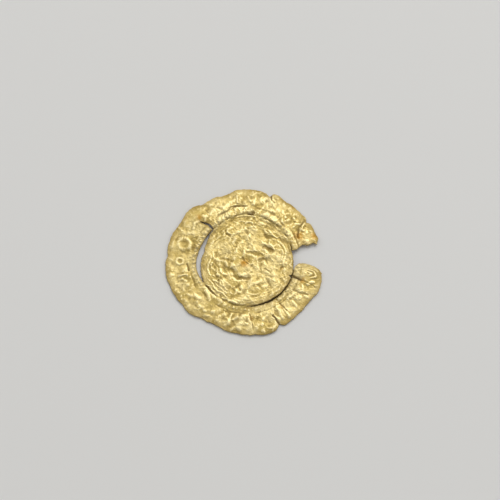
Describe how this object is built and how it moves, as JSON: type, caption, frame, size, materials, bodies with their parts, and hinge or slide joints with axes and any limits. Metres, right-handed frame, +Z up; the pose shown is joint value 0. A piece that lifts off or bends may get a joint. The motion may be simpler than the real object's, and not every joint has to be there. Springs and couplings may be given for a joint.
{
  "type": "gold coin",
  "caption": "Thin hammered gold coin, worn and crumpled: a round field torn part-way round from an outer band that has a bite missing from its rim.",
  "frame": {"origin": "middle of the coin's outline box, at the height of its lowest underside points, so the coin lies on Z = 0", "axes": "+Z up through the struck face; +X towards the missing bite in the band; -Y towards the viewer, with the torn slot on the left and the crack at the lower right"},
  "size_m": [0.0199, 0.0197, 0.0008],
  "materials": {
    "gold": "soft satin high-carat gold, hammered and worn, with a few orange-brown soil stains in the hollows"
  },
  "bodies": {
    "root": {"coin": "gold"}
  },
  "joints": []
}
